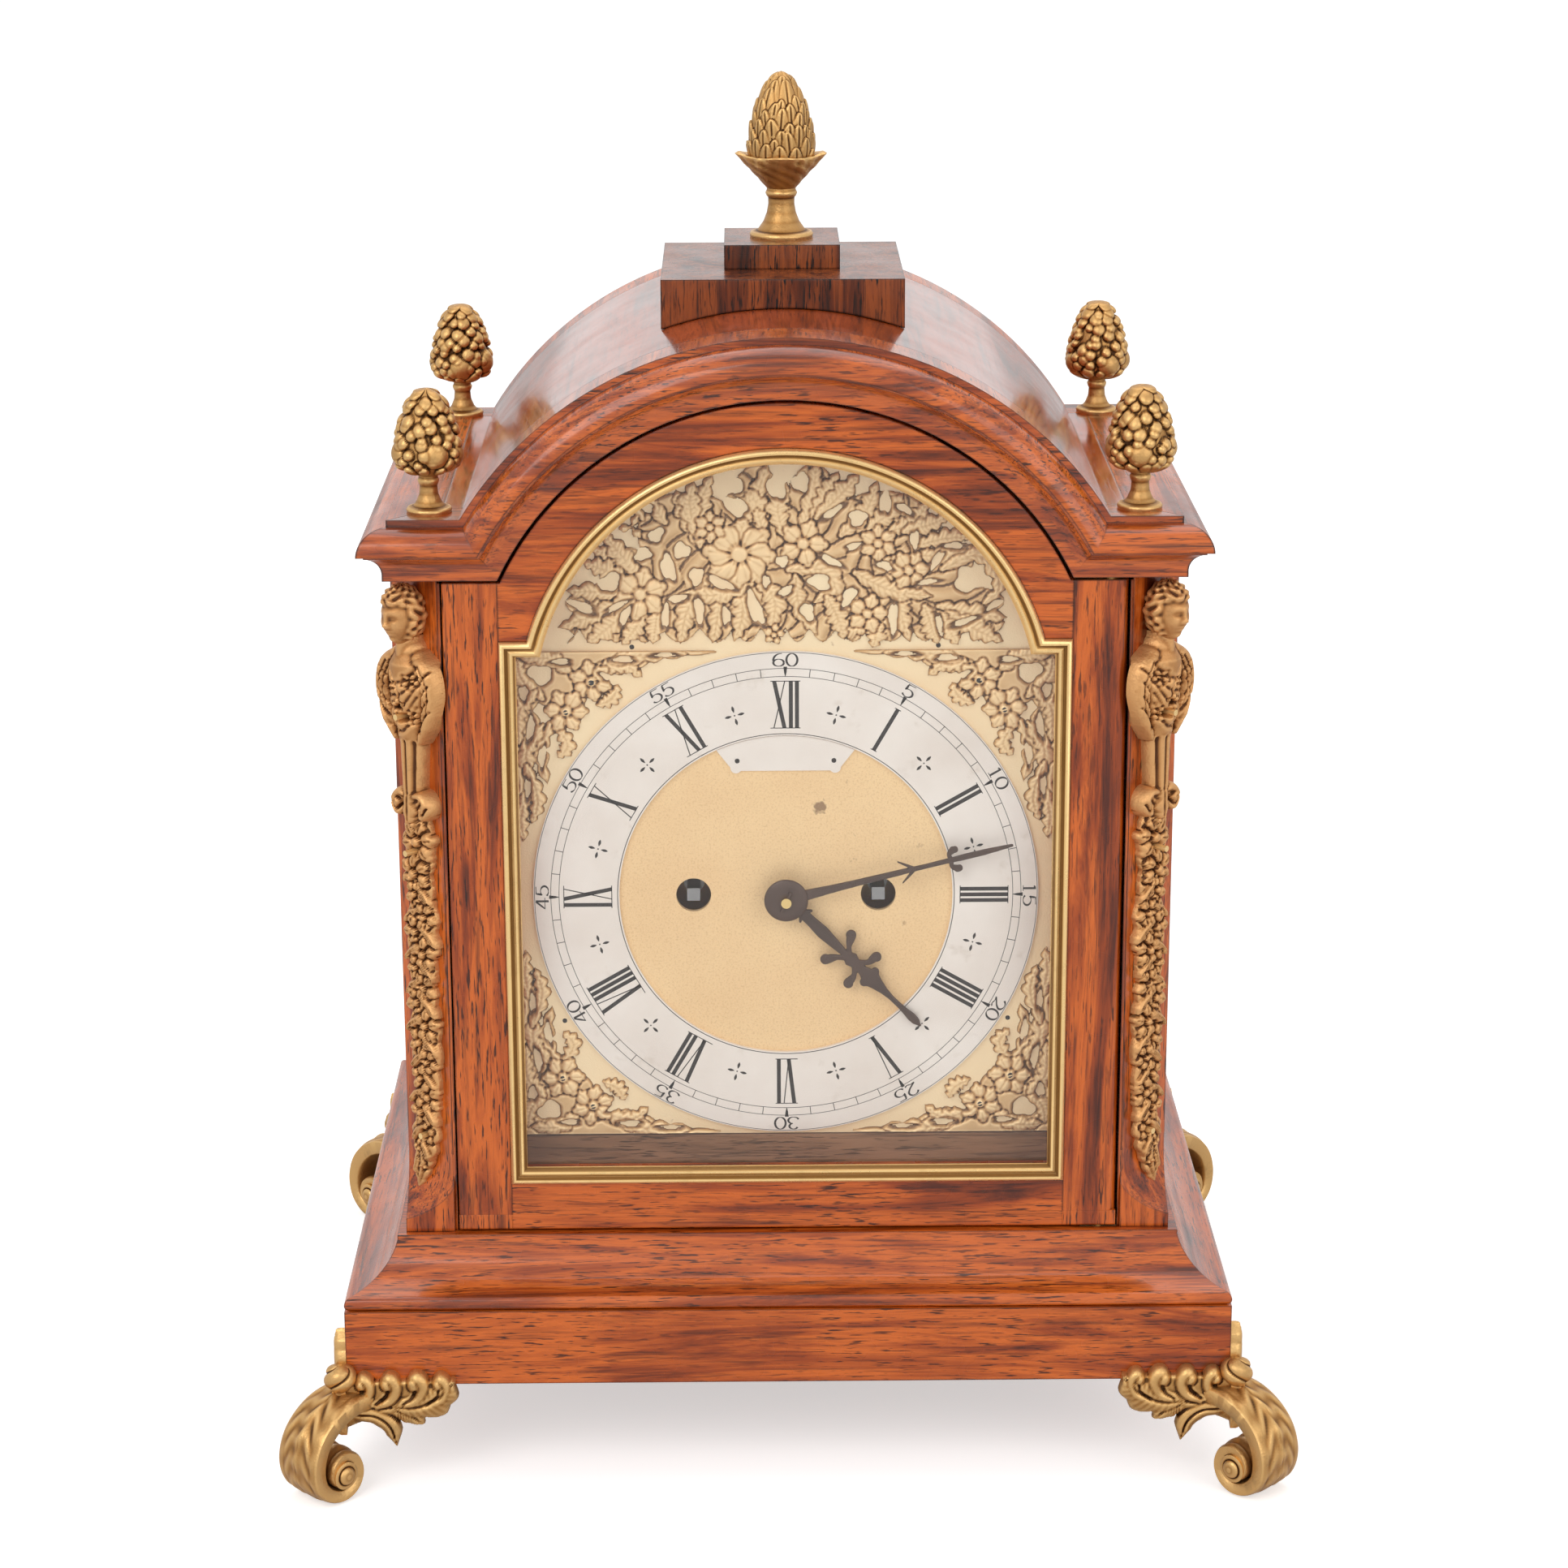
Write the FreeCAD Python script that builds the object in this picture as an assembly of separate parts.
import FreeCAD, Part
import math
import os
from FreeCAD import Vector

# Bracket clock with a break-arch case. Millimetres; z = 0 is the surface it stands on,
# x = 0 is its middle, and the dial faces -Y.

# Case
FOOT_HEIGHT = 32.1
PLINTH_WIDTH = 260.2
PLINTH_DEPTH = 200.0
PLINTH_HEIGHT = 23.0
PLINTH_WALL = 18.0
BASE_HEIGHT = 18.0
BASE_STEP = 2.5
BASE_LIP = 4.2
BASE_HOLLOW = 2.6
BASE_WALL = 22.0
BASE_BOARD = 6.0
CASE_WIDTH = 225.4
CASE_DEPTH = 165.0
CASE_HEIGHT = 197.8
SIDE_WALL = 14.4
POST_DEPTH = 24.5
CANT = 15.7
CANT_STOP = 4.0
CANT_SWEEP = 20.0
CORNICE_HEIGHT = 17.3
CORNICE_REACH = 7.4
CORNICE_SET_BACK = 0.7
CORNICE_FILLET = 2.0
CORNICE_LEDGE = 8.2
ARCH_RADIUS = 90.0
ARCH_DROP = 38.9
ROOF_BOARD = 8.0
MASK_BOARD = 8.0
SEAT_BOARD = 9.0
SEAT_GAP = 0.2

# Blocks and finials
LOWER_BLOCK = 70.4
LOWER_BLOCK_RISE = 8.6
UPPER_BLOCK = 33.8
UPPER_BLOCK_HEIGHT = 7.1
TOP_FINIAL_HEIGHT = 49.0
TOP_FINIAL_RADIUS = 13.2
TOP_FINIAL_FOOT = 10.2
CORNER_FINIAL_HEIGHT = 36.6
CORNER_FINIAL_RADIUS = 10.4
CORNER_FINIAL_FOOT = 6.5
CORNER_FINIAL_INSET = 12.1
STUD_RADIUS = 1.6
STUD_LENGTH = 6.0

# Feet
FOOT_WIDTH = 20.0
FOOT_REACH = 19.3
VOLUTE_RADIUS = 8.3
VOLUTE_OFFSET = 0.8
FOOT_FLAT = 6.0
WING_LENGTH = 35.0
WING_THICKNESS = 4.2
WING_RISE = 6.0
SIDE_LEAF_RISE = 17.0
FOOT_FLANGE = 2.0
FOOT_FLANGE_SIDE = 26.0
FOOT_SCREW_RADIUS = 1.5
FOOT_SCREW_INSET = 20.0
FOOT_SCREW_BACK = 6.0

# Corner mounts
MOUNT_TOP_GAP = 1.0
MOUNT_FOOT_GAP = 9.8
MOUNT_HEAD = 7.2
MOUNT_SHOULDER = 9.0
MOUNT_DROP = 5.6
MOUNT_WING = 12.5
MOUNT_PLATE = 4.5
MOUNT_DOOR_GAP = 0.6
MOUNT_PIN_RADIUS = 0.9

# Doors
DOOR_THICKNESS = 15.0
DOOR_SIDE_GAP = 1.3
DOOR_ARCH_GAP = 1.0
DOOR_TOP_GAP = 0.9
DOOR_FOOT_GAP = 3.4
DOOR_BACK_GAP = 0.6
STILE_WIDTH = 15.7
RAIL_WIDTH = 11.9
DOOR_EDGE_ROUND = 3.0
HINGE_INSET = 5.0
HINGE_BEHIND_FACE = 3.0
HINGE_PIN_RADIUS = 1.5
HINGE_PLATE_LENGTH = 14.0
HINGE_PLATE_WIDTH = 4.6
HINGE_PLATE_THICKNESS = 2.0
SOCKET_LENGTH = 11.0
SOCKET_DEPTH = 3.5
BEZEL_WIDTH = 4.8
BEZEL_PROUD = 2.0
BEZEL_BACK = 1.0
GLASS_THICKNESS = 2.0
LIGHT_SHOULDER = 21.0
LIGHT_ARCH_INSET = 5.0
KNOB_RADIUS = 5.0
KNOB_LENGTH = 11.0
KNOB_PIN = 4.0

# Dial
DIAL_SIDE_GAP = 1.3
DIAL_BOTTOM = 24.5
DIAL_THICKNESS = 1.6
DIAL_EDGE_GAP = 0.25
RING_EDGE_GAP = 6.2
RING_WIDTH = 25.1
RING_THICKNESS = 1.2
CENTRE_HEIGHT = 99.2
SPANDREL_THICKNESS = 1.8
SPANDREL_EDGE_GAP = 1.5
SCALLOPS = 13
SCALLOP_DEPTH = 3.5
SCALLOP_SPAN = 74.0
ARCH_OPENINGS = 51.0
PLAQUE_WIDTH = 40.0
PLAQUE_HEIGHT = 10.5
PLAQUE_THICKNESS = 0.6
DIAL_FOOT_RADIUS = 2.5
DIAL_FOOT_X = 44.0
DIAL_FOOT_Z = 50.0

# Movement
DIAL_TO_PLATE = 14.4
PLATE_THICKNESS = 2.5
PLATE_SPACING = 42.0
PLATE_WIDTH = 112.0
PLATE_TOP = 66.0
PLATE_BOTTOM = 60.0
PILLAR_RADIUS = 4.0
PILLAR_INSET = 7.0
ARBOR_RADIUS = 1.5
PIVOT_RADIUS = 1.0
FINE_PIVOT_RADIUS = 0.6
RUNNING_GAP = 0.06
END_SHAKE = 0.3
WHEEL_THICKNESS = 1.5
TRAIN_MODULE = 0.5
THIRD_MODULE = 0.45
CANNON_MODULE = 0.65
GREAT_TEETH = 96
CENTRE_PINION_LEAVES = 12
CENTRE_TEETH = 84
THIRD_PINION_LEAVES = 7
THIRD_TEETH = 80
ESCAPE_PINION_LEAVES = 6
ESCAPE_TEETH = 30
ESCAPE_RADIUS = 15.0
ESCAPE_RISE = 36.0
PALLET_REACH = 21.2
PALLET_CLEARANCE = 1.3
CANNON_TEETH = 30
MINUTE_PINION_LEAVES = 6
HOUR_TEETH = 72
BARREL_RADIUS = 20.0
BARREL_LENGTH = 16.0
BARREL_WALL = 1.5
GREAT_WHEEL_GAP = 2.0
GREAT_THICKNESS = 2.0
WINDING_RADIUS = 3.0
WINDING_SQUARE = 3.8
WINDING_HOLE_RADIUS = 5.1
RATCHET_RADIUS = 8.0
RATCHET_TEETH = 18

# Hands
MINUTE_HAND_INSET = 6.0
HOUR_HAND_OVERLAP = 7.6
HAND_THICKNESS = 0.9
HAND_GAP = 1.2
HAND_SPACING = 1.6
COLLET_HEIGHT = 1.6
MINUTE_HAND_ANGLE = 76.1
HOUR_HAND_ANGLE = 135.4
COLLET_RADIUS = 6.4

# Pendulum, bell and hammer
PENDULUM_PIVOT = 63.8
PENDULUM_LENGTH = 112.0
PENDULUM_ROD_RADIUS = 1.2
PENDULUM_SET_BACK = 8.0
BOB_RADIUS = 17.0
BOB_THICKNESS = 9.0
CRUTCH_LENGTH = 34.0
FORK_GAP = 0.35
BELL_RADIUS = 30.0
BELL_WALL = 1.8
BELL_RIM = 76.0
BELL_STRAP = 2.5
BELL_SET_BACK = 34.0
HAMMER_RADIUS = 4.0
HAMMER_GAP = 0.8
HAMMER_ARBOR_X = -45.0
HAMMER_ARBOR_Z = 48.0

# Levels and planes worked out from the sizes above
Z_PLINTH = FOOT_HEIGHT
Z_BASE = Z_PLINTH + PLINTH_HEIGHT
Z_CASE = Z_BASE + BASE_HEIGHT
Z_CORNICE = Z_CASE + CASE_HEIGHT
Z_FLAT = Z_CORNICE + CORNICE_HEIGHT
Z_ARCH = Z_CORNICE - ARCH_DROP
Z_ROOF = Z_ARCH + ARCH_RADIUS + CORNICE_HEIGHT
HALF_X = CASE_WIDTH / 2
HALF_Y = CASE_DEPTH / 2
ROOF_RADIUS = ARCH_RADIUS + CORNICE_HEIGHT
CORNICE_BACK = DOOR_THICKNESS + DOOR_BACK_GAP
INNER_X = HALF_X - SIDE_WALL
DOOR_HALF = INNER_X - DOOR_SIDE_GAP
DOOR_FACE = -HALF_Y
DOOR_BACK = DOOR_FACE + DOOR_THICKNESS
MASK_FACE = DOOR_FACE + CORNICE_BACK
Z_DOOR = Z_CASE + DOOR_FOOT_GAP
Z_DOOR_SHOULDER = Z_CORNICE - DOOR_TOP_GAP
DOOR_ARCH_RADIUS = ARCH_RADIUS - DOOR_ARCH_GAP
LIGHT_HALF = DOOR_HALF - STILE_WIDTH
Z_LIGHT = Z_DOOR + RAIL_WIDTH
Z_LIGHT_SHOULDER = Z_ARCH + LIGHT_SHOULDER
LIGHT_ARCH_RADIUS = LIGHT_HALF - LIGHT_ARCH_INSET
DIAL_HALF = LIGHT_HALF - DIAL_SIDE_GAP
RING_RADIUS = DIAL_HALF - RING_EDGE_GAP
RING_INNER_RADIUS = RING_RADIUS - RING_WIDTH
MINUTE_HAND_LENGTH = RING_RADIUS - MINUTE_HAND_INSET
HOUR_HAND_LENGTH = RING_INNER_RADIUS + HOUR_HAND_OVERLAP
MOUNT_LENGTH = CASE_HEIGHT - MOUNT_TOP_GAP - MOUNT_FOOT_GAP
HINGE_X = DOOR_HALF - HINGE_INSET
HINGE_Y = DOOR_FACE + HINGE_BEHIND_FACE
CX, CZ = 0.0, Z_CASE + CENTRE_HEIGHT
DIAL_FACE = MASK_FACE - 0.1
DIAL_REAR = DIAL_FACE + DIAL_THICKNESS
FRONT_PLATE = DIAL_REAR + DIAL_TO_PLATE
PLATES_IN = FRONT_PLATE + PLATE_THICKNESS
PLATES_OUT = PLATES_IN + PLATE_SPACING
BACK_FACE = PLATES_OUT + PLATE_THICKNESS
WINDING_X = TRAIN_MODULE * (GREAT_TEETH + CENTRE_PINION_LEAVES) / 2
THIRD_REACH = TRAIN_MODULE * (CENTRE_TEETH + THIRD_PINION_LEAVES) / 2
ESCAPE_REACH = THIRD_MODULE * (THIRD_TEETH + ESCAPE_PINION_LEAVES) / 2
THIRD_RISE = (ESCAPE_RISE ** 2 + THIRD_REACH ** 2 - ESCAPE_REACH ** 2) / (2 * ESCAPE_RISE)
THIRD_X = math.sqrt(THIRD_REACH ** 2 - THIRD_RISE ** 2)
MOTION_REACH = CANNON_MODULE * CANNON_TEETH
PENDULUM_Y = BACK_FACE + PENDULUM_SET_BACK
GREAT_Y = PLATES_IN + GREAT_WHEEL_GAP
CENTRE_WHEEL_Y = GREAT_Y + GREAT_THICKNESS + BARREL_LENGTH + 5.0
ESCAPE_WHEEL_Y = CENTRE_WHEEL_Y + 5.0
THIRD_WHEEL_Y = ESCAPE_WHEEL_Y + 4.0
CANNON_Y = FRONT_PLATE - 3.0
HOUR_WHEEL_Y = CANNON_Y - 4.0
HAND_FACE = DIAL_FACE - RING_THICKNESS - HAND_GAP
HOUR_HAND_Y = HAND_FACE - HAND_THICKNESS
MINUTE_HAND_Y = HOUR_HAND_Y - HAND_SPACING - HAND_THICKNESS
COLLET_FRONT = MINUTE_HAND_Y - COLLET_HEIGHT
ARBOR_END = COLLET_FRONT - 1.4

nodes = {}


# ---- basic shapes ----------------------------------------------------------------------

def box(x0, x1, y0, y1, z0, z1):
    return Part.makeBox(x1 - x0, y1 - y0, z1 - z0, Vector(x0, y0, z0))


def rod(x, z, radius, y0, y1):
    """Cylinder along Y."""
    return Part.makeCylinder(radius, y1 - y0, Vector(x, y0, z), Vector(0, 1, 0))


def post(x, y, radius, z0, z1):
    """Cylinder along Z."""
    return Part.makeCylinder(radius, z1 - z0, Vector(x, y, z0), Vector(0, 0, 1))


def edge_path(steps, to_vector):
    """Closed wire from points; a step of two points is an arc through the first to the second."""
    edges = []
    here = steps[0]
    for step in steps[1:] + [steps[0]]:
        if isinstance(step[0], tuple):
            middle, end = step
            arc = Part.Arc(to_vector(here), to_vector(middle), to_vector(end))
            edges.append(arc.toShape())
            here = end
        elif math.dist(here, step) > 1e-6:
            edges.append(Part.LineSegment(to_vector(here), to_vector(step)).toShape())
            here = step
    return Part.Wire(edges)


def plate_xz(steps, y0, y1):
    """Outline in X and Z, as thick as from y0 to y1."""
    face = Part.Face(edge_path(steps, lambda p: Vector(p[0], y0, p[1])))
    return face.extrude(Vector(0, y1 - y0, 0))


def turned(steps, centre, axis=(0, 0, 1), across=(1, 0, 0)):
    """Solid of revolution from (radius, height) steps about an axis through centre."""
    origin, along, out = Vector(*centre), Vector(*axis), Vector(*across)
    face = Part.Face(edge_path(steps, lambda p: origin + out * p[0] + along * p[1]))
    return face.revolve(origin, along, 360)


def fuse(*shapes):
    whole = shapes[0].fuse(list(shapes[1:])) if len(shapes) > 1 else shapes[0]
    return whole.removeSplitter()


def group(*shapes):
    return Part.makeCompound(list(shapes))


def mirrored(shape, x=False, y=False):
    """Copy of the shape on the other side of the clock."""
    if x:
        shape = shape.mirror(Vector(0, 0, 0), Vector(1, 0, 0))
    if y:
        shape = shape.mirror(Vector(0, 0, 0), Vector(0, 1, 0))
    return shape


def half_turn(shape):
    """Copy of the shape turned to face the back."""
    return shape.copy().rotate(Vector(0, 0, 0), Vector(0, 0, 1), 180)


def arch_point(radius, x):
    """Height of a point of an arch of this radius about the common arch centre."""
    return Z_ARCH + math.sqrt(radius ** 2 - x ** 2)


def arch_width(radius, z):
    return math.sqrt(radius ** 2 - (z - Z_ARCH) ** 2)


# ---- plinth and flared base ------------------------------------------------------------

def plinth():
    hx, hy = PLINTH_WIDTH / 2, PLINTH_DEPTH / 2
    inner = PLINTH_WALL
    outer = box(-hx, hx, -hy, hy, Z_PLINTH, Z_BASE)
    well = box(-hx + inner, hx - inner, -hy + inner, hy - inner, Z_PLINTH, Z_BASE)
    return outer.cut(well)


def flare_profile(half, lip_reach):
    """Half outline of the flared base: lip, hollow and step, from the plinth to the case."""
    lip = BASE_LIP / 2
    lip_in = half + lip_reach - lip
    hollow_top = Z_CASE - BASE_STEP / 2
    top = half + BASE_STEP
    hollow_foot = Z_BASE + BASE_LIP
    mid = (top + lip_in - 2 * BASE_HOLLOW * 0.7) / 2
    mid_z = (hollow_top + hollow_foot - 2 * BASE_HOLLOW * 0.7) / 2
    return [(0, Z_BASE), (lip_in, Z_BASE),
            ((half + lip_reach, Z_BASE + lip), (lip_in, hollow_foot)),
            ((mid, mid_z), (top, hollow_top)), (top, Z_CASE), (0, Z_CASE)]


def base_moulding():
    hx, hy = PLINTH_WIDTH / 2, PLINTH_DEPTH / 2
    across = flare_profile(HALF_X, hx - HALF_X)
    along = flare_profile(HALF_Y, hy - HALF_Y)
    right = plate_xz(across, -hy, hy)
    front = Part.Face(edge_path(along, lambda p: Vector(-hx, p[0], p[1])))
    rear = front.extrude(Vector(2 * hx, 0, 0))
    solid = fuse(right, mirrored(right, x=True)).common(fuse(rear, mirrored(rear, y=True)))
    well_x = HALF_X + BASE_STEP - BASE_WALL
    well_y = HALF_Y + BASE_STEP - BASE_WALL
    ring = solid.cut(box(-well_x, well_x, -well_y, well_y, Z_BASE, Z_CASE))
    for socket in socket_blocks(Z_CASE - SOCKET_DEPTH, Z_CASE):
        ring = ring.cut(socket)
    return ring


def base_board():
    well_x = HALF_X + BASE_STEP - BASE_WALL
    well_y = HALF_Y + BASE_STEP - BASE_WALL
    return box(-well_x, well_x, -well_y, well_y, Z_CASE - BASE_BOARD, Z_CASE)


# ---- case walls ------------------------------------------------------------------------

def side_panel():
    return box(INNER_X, HALF_X, -HALF_Y + POST_DEPTH, HALF_Y, Z_CASE, Z_CORNICE)


def cant_cutter():
    """What the canted right front corner loses, with a curved stop at its foot."""
    reach = CANT / math.sqrt(2)
    stop = Z_CASE + CANT_STOP
    sweep = CANT_SWEEP
    tangent = Vector(1, 1, 0).normalize()
    normal = Vector(1, -1, 0).normalize()
    corner = Vector(HALF_X, -HALF_Y, 0)
    steps = [(-reach, Z_CORNICE + 1), (-reach, stop + sweep),
             ((-reach * 0.72, stop + sweep * 0.3), (0.5, stop)),
             (2.0, stop), (2.0, Z_CORNICE + 1)]
    start = corner - tangent * CANT * 1.5
    face = Part.Face(edge_path(steps, lambda p: start + normal * p[0] + Vector(0, 0, p[1])))
    return face.extrude(tangent * CANT * 3)


def corner_post():
    front = -HALF_Y
    square = box(INNER_X, HALF_X, front, front + POST_DEPTH, Z_CASE, Z_CORNICE)
    return square.cut(cant_cutter())


def mask_outline():
    side = INNER_X
    under = HALF_X - CORNICE_BACK - SEAT_GAP
    shoulder = Z_FLAT - ROOF_BOARD - SEAT_GAP
    radius = ROOF_RADIUS - ROOF_BOARD - SEAT_GAP
    spring = arch_width(radius, shoulder)
    return [(-side, Z_CASE), (side, Z_CASE), (side, Z_CORNICE), (under, Z_CORNICE),
            (under, shoulder), (spring, shoulder),
            ((0, Z_ARCH + radius), (-spring, shoulder)),
            (-under, shoulder), (-under, Z_CORNICE), (-side, Z_CORNICE)]


def dial_outline(gap):
    """Outline of the dial plate, or of its opening when a gap is added."""
    half = DIAL_HALF + gap
    foot = Z_CASE + DIAL_BOTTOM - gap
    shoulder = Z_LIGHT_SHOULDER + gap
    radius = LIGHT_ARCH_RADIUS + gap
    spring = arch_width(radius, shoulder)
    return [(-half, foot), (half, foot), (half, shoulder), (spring, shoulder),
            ((0, Z_ARCH + radius), (-spring, shoulder)), (-half, shoulder)]


def dial_mask():
    board = plate_xz(mask_outline(), MASK_FACE, MASK_FACE + MASK_BOARD)
    return board.cut(plate_xz(dial_outline(DIAL_EDGE_GAP), MASK_FACE, MASK_FACE + MASK_BOARD))


def seat_board():
    top = CZ - PLATE_BOTTOM
    front = MASK_FACE + MASK_BOARD
    board = box(-INNER_X, INNER_X, front, BACK_FACE, top - SEAT_BOARD, top)
    return board


# ---- cornice and roof ------------------------------------------------------------------

def cornice_profile():
    """Steps of (outwards from the case face, up from the cornice's underside)."""
    reach, ledge = CORNICE_REACH, CORNICE_LEDGE
    top = CORNICE_HEIGHT - CORNICE_FILLET
    hollow = reach - 2.0
    return [(-CORNICE_BACK, 0), (0.8, 0), (0.8, 1.2),
            ((2.0, ledge - 2.9), (hollow, ledge - 0.8)), (hollow, ledge), (reach, ledge),
            ((reach - 1.9, top - 2.3), (0.4, top)), (-CORNICE_SET_BACK, top),
            (-CORNICE_SET_BACK, CORNICE_HEIGHT), (-CORNICE_BACK, CORNICE_HEIGHT)]


def mitre_wedge(outset):
    """Plan wedge that a front moulding fills, up to its 45 degree corners."""
    inset = CORNICE_BACK + outset
    points = [(-HALF_X - outset, -HALF_Y - outset), (HALF_X + outset, -HALF_Y - outset),
              (HALF_X - inset, -HALF_Y + inset), (-HALF_X + inset, -HALF_Y + inset)]
    face = Part.Face(edge_path(points, lambda p: Vector(p[0], p[1], Z_CASE)))
    return face.extrude(Vector(0, 0, Z_ROOF - Z_CASE + outset))


def arch_sector():
    """Where the arched moulding runs, between its two mitres with the flats."""
    low = arch_width(ARCH_RADIUS, Z_CORNICE)
    high = arch_width(ROOF_RADIUS, Z_FLAT)
    lean = (high - low) / CORNICE_HEIGHT
    far = Z_ROOF + CORNICE_HEIGHT
    wide = low + lean * (far - Z_CORNICE)
    tight = low - lean * CORNICE_HEIGHT
    foot = Z_CORNICE - CORNICE_HEIGHT
    points = [(-tight, foot), (tight, foot), (wide, far), (-wide, far)]
    return plate_xz(points, -2 * HALF_Y, 2 * HALF_Y)


def cornice_front():
    profile = cornice_profile()
    straight = Part.Face(edge_path(
        profile, lambda p: Vector(-2 * HALF_X, -HALF_Y - p[0], Z_CORNICE + p[1])))
    flats = straight.extrude(Vector(4 * HALF_X, 0, 0)).common(mitre_wedge(CORNICE_HEIGHT))
    flats = flats.cut(arch_sector())
    ring = turned([(ARCH_RADIUS + p[1], p[0]) if not isinstance(p[0], tuple) else
                   tuple((ARCH_RADIUS + q[1], q[0]) for q in p) for p in profile],
                  (0, -HALF_Y, Z_ARCH), axis=(0, -1, 0), across=(0, 0, 1))
    whole = fuse(flats, ring.common(arch_sector()))
    for hole in stud_holes():
        whole = whole.cut(hole)
    for socket in socket_blocks(Z_CORNICE, Z_CORNICE + SOCKET_DEPTH):
        whole = whole.cut(socket)
    return whole


def cornice_side():
    profile = cornice_profile()
    face = Part.Face(edge_path(
        profile, lambda p: Vector(HALF_X + p[0], -2 * HALF_Y, Z_CORNICE + p[1])))
    run = face.extrude(Vector(0, 4 * HALF_Y, 0))
    wedge = mitre_wedge(CORNICE_HEIGHT)
    run = run.cut(wedge).cut(half_turn(wedge))
    reach = HALF_Y + CORNICE_REACH
    run = run.common(box(0, 2 * HALF_X, -reach, reach, Z_CASE, Z_ROOF))
    for hole in stud_holes():
        run = run.cut(hole)
    return run


def stud_holes():
    holes = []
    for x, y in finial_places():
        holes.append(post(x, y, STUD_RADIUS + 0.05, Z_FLAT - STUD_LENGTH - 0.3, Z_FLAT + 1))
    return holes


def roof():
    edge = HALF_X - CORNICE_BACK
    reach = HALF_Y - CORNICE_BACK
    under = Z_FLAT - ROOF_BOARD
    outer = arch_width(ROOF_RADIUS, Z_FLAT)
    inner = arch_width(ROOF_RADIUS - ROOF_BOARD, under)
    steps = [(edge, under), (edge, Z_FLAT), (outer, Z_FLAT),
             ((0, Z_ROOF), (-outer, Z_FLAT)), (-edge, Z_FLAT), (-edge, under),
             (-inner, under), ((0, Z_ROOF - ROOF_BOARD), (inner, under))]
    return plate_xz(steps, -reach, reach)


# ---- blocks and finials ----------------------------------------------------------------

def lower_block():
    half = LOWER_BLOCK / 2
    top = Z_ROOF + LOWER_BLOCK_RISE
    low = arch_point(ROOF_RADIUS, half) - 1
    block = box(-half, half, -half, half, low, top)
    saddle = rod(0, Z_ARCH, ROOF_RADIUS + SEAT_GAP, -HALF_Y, HALF_Y)
    return block.cut(saddle)


def upper_block():
    half = UPPER_BLOCK / 2
    low = Z_ROOF + LOWER_BLOCK_RISE
    block = box(-half, half, -half, half, low, low + UPPER_BLOCK_HEIGHT)
    hole_foot = low + UPPER_BLOCK_HEIGHT - STUD_LENGTH - 0.3
    return block.cut(post(0, 0, STUD_RADIUS + 0.05, hole_foot, low + UPPER_BLOCK_HEIGHT))


def finial(height, radius, foot):
    """Turned foot and stem, leafy cup and a pineapple cone, with a stud below."""
    h, r = height, radius
    cone = r * 0.78
    return turned([
        (0, -STUD_LENGTH), (STUD_RADIUS, -STUD_LENGTH), (STUD_RADIUS, 0), (foot, 0),
        (foot, h * 0.02), ((foot * 0.93, h * 0.045), (foot * 0.7, h * 0.055)),
        ((foot * 0.5, h * 0.1), (foot * 0.42, h * 0.21)),
        ((foot * 0.55, h * 0.24), (foot * 0.62, h * 0.27)),
        ((r * 0.72, h * 0.36), (r, h * 0.44)), (r * 0.97, h * 0.47), (cone * 0.96, h * 0.47),
        ((cone, h * 0.6), (cone * 0.72, h * 0.82)), ((cone * 0.42, h * 0.95), (0.5, h)), (0, h)],
        (0, 0, 0))


def finial_places():
    """Stud positions of the four corner finials: left and right, front and rear."""
    x = HALF_X - CORNER_FINIAL_INSET
    y = HALF_Y - CORNER_FINIAL_INSET
    return [(-x, -y), (x, -y), (-x, y), (x, y)]


def make_finials():
    top = Z_ROOF + LOWER_BLOCK_RISE + UPPER_BLOCK_HEIGHT
    crown = finial(TOP_FINIAL_HEIGHT, TOP_FINIAL_RADIUS, TOP_FINIAL_FOOT)
    nodes["finial_top"] = crown.translate(Vector(0, 0, top))
    names = ["front_left", "front_right", "rear_left", "rear_right"]
    for name, (x, y) in zip(names, finial_places()):
        piece = finial(CORNER_FINIAL_HEIGHT, CORNER_FINIAL_RADIUS, CORNER_FINIAL_FOOT)
        nodes["finial_" + name] = piece.translate(Vector(x, y, Z_FLAT))


# ---- scroll feet -----------------------------------------------------------------------

def foot_leg():
    """Scroll leg: outline along the corner's diagonal, u outwards from the plinth corner."""
    reach, volute, c = FOOT_REACH, VOLUTE_RADIUS, VOLUTE_OFFSET
    top = FOOT_HEIGHT - FOOT_FLANGE
    steps = [(-14.0, top), (1.0, top), (4.0, top + 1.0),
             ((reach * 0.72, top * 0.78), (reach, top * 0.42)),
             ((reach * 0.85, top * 0.13), (c + FOOT_FLAT, 0.0)), (c - 1.0, 0.0),
             ((c - volute, volute), (c, 2 * volute)), (c + volute * 0.8, volute * 1.5),
             ((c + 4.0, top * 0.68), (-6.0, top * 0.8)), (-14.0, top * 0.9)]
    outward = Vector(1, -1, 0).normalize()
    across = Vector(1, 1, 0).normalize()
    corner = Vector(PLINTH_WIDTH / 2, -PLINTH_DEPTH / 2, 0) - across * FOOT_WIDTH / 2
    face = Part.Face(edge_path(steps, lambda p: corner + outward * p[0] + Vector(0, 0, p[1])))
    return face.extrude(across * FOOT_WIDTH)


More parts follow.
